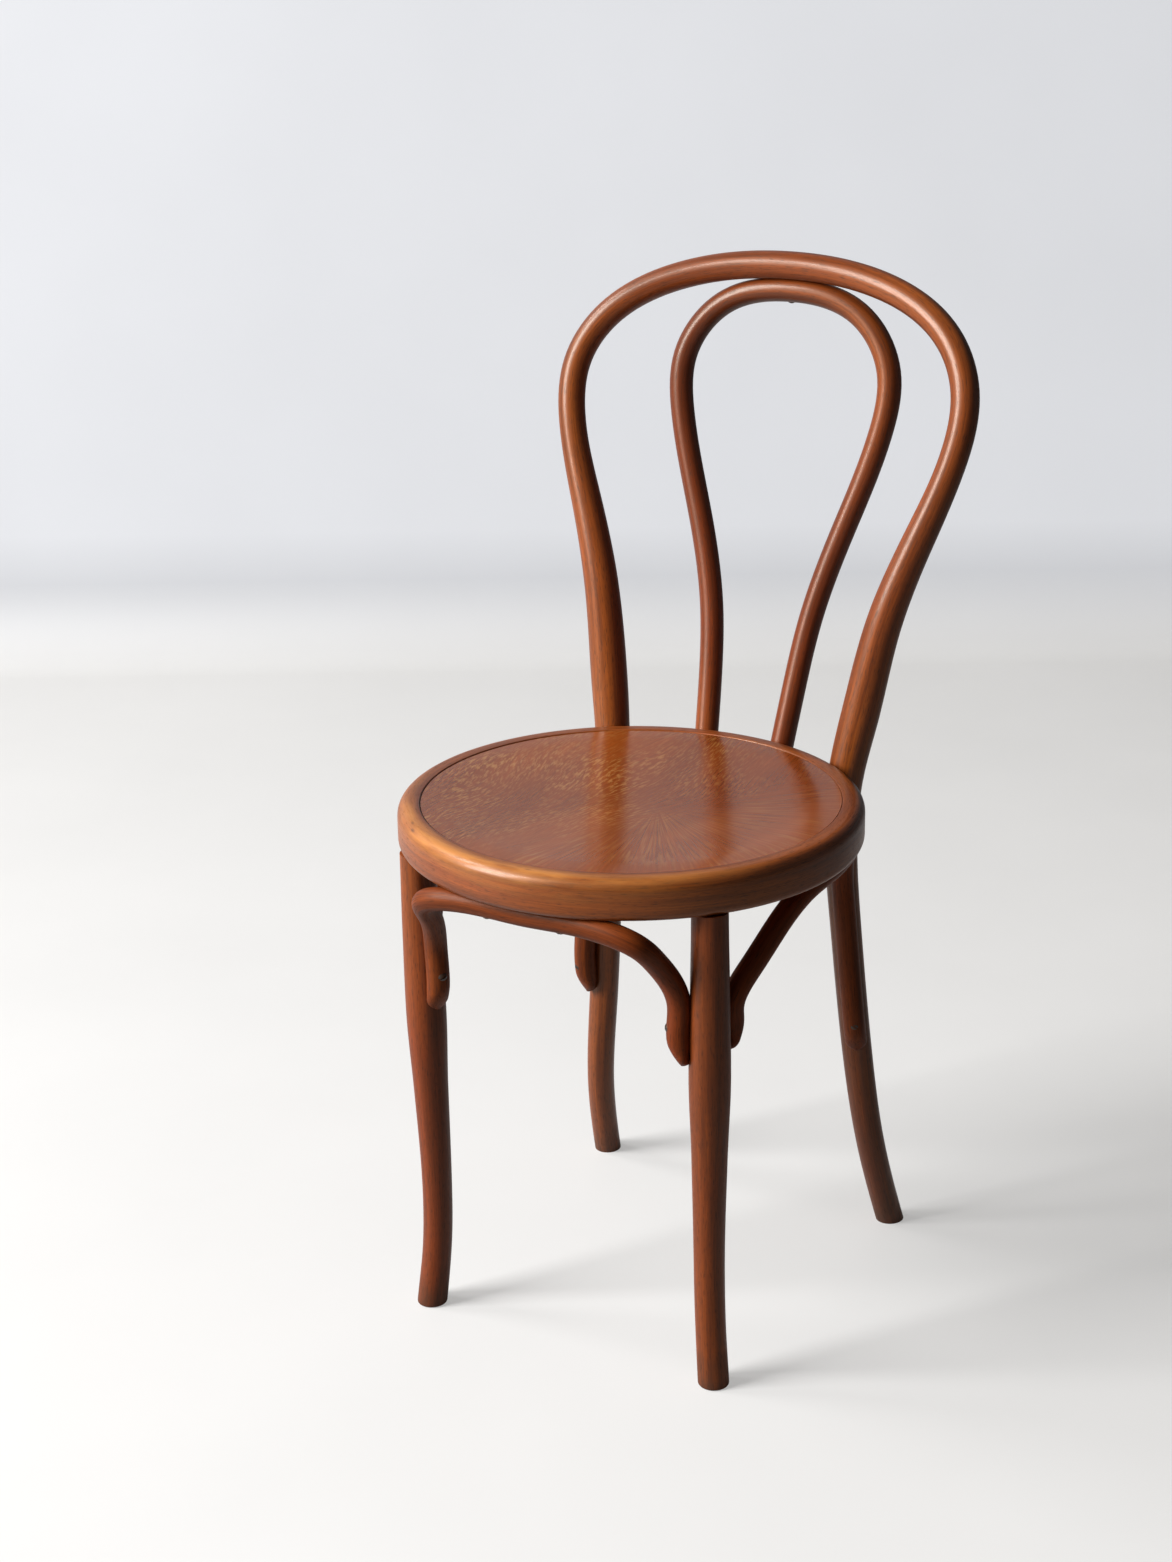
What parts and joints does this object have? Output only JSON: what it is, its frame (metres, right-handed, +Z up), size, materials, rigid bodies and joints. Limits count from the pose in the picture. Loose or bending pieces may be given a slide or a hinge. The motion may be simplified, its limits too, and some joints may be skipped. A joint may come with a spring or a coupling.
{
  "type": "bentwood bistro chair",
  "caption": "Bentwood side chair with a round dished panel seat, a tall hooped back with a smaller inner bow, turned front legs and bent brackets under the seat ring.",
  "frame": {"origin": "on the floor under the middle of the chair's box, so +Z starts at the feet", "axes": "+X towards the sitter's left, +Y towards the back of the chair, +Z up"},
  "size_m": [0.4138, 0.5144, 0.892],
  "materials": {
    "stained_beech": "amber brown stain under a satin varnish",
    "seat_ply": "rotary cut veneer, reddish brown stain under a satin varnish",
    "dark_steel": "darkened steel"
  },
  "bodies": {
    "root": {"rear_hoop": "stained_beech", "inner_bow": "stained_beech", "seat_ring": "stained_beech", "seat_panel": "seat_ply", "front_leg_left": "stained_beech", "front_leg_right": "stained_beech", "front_bracket": "stained_beech", "side_bracket_left": "stained_beech", "side_bracket_right": "stained_beech", "foot_screws": "dark_steel", "rail_screws": "dark_steel", "bow_screws": "dark_steel", "crest_screw": "dark_steel", "hoop_bolts": "dark_steel", "hoop_washers": "dark_steel", "hoop_nuts": "dark_steel"}
  },
  "joints": []
}
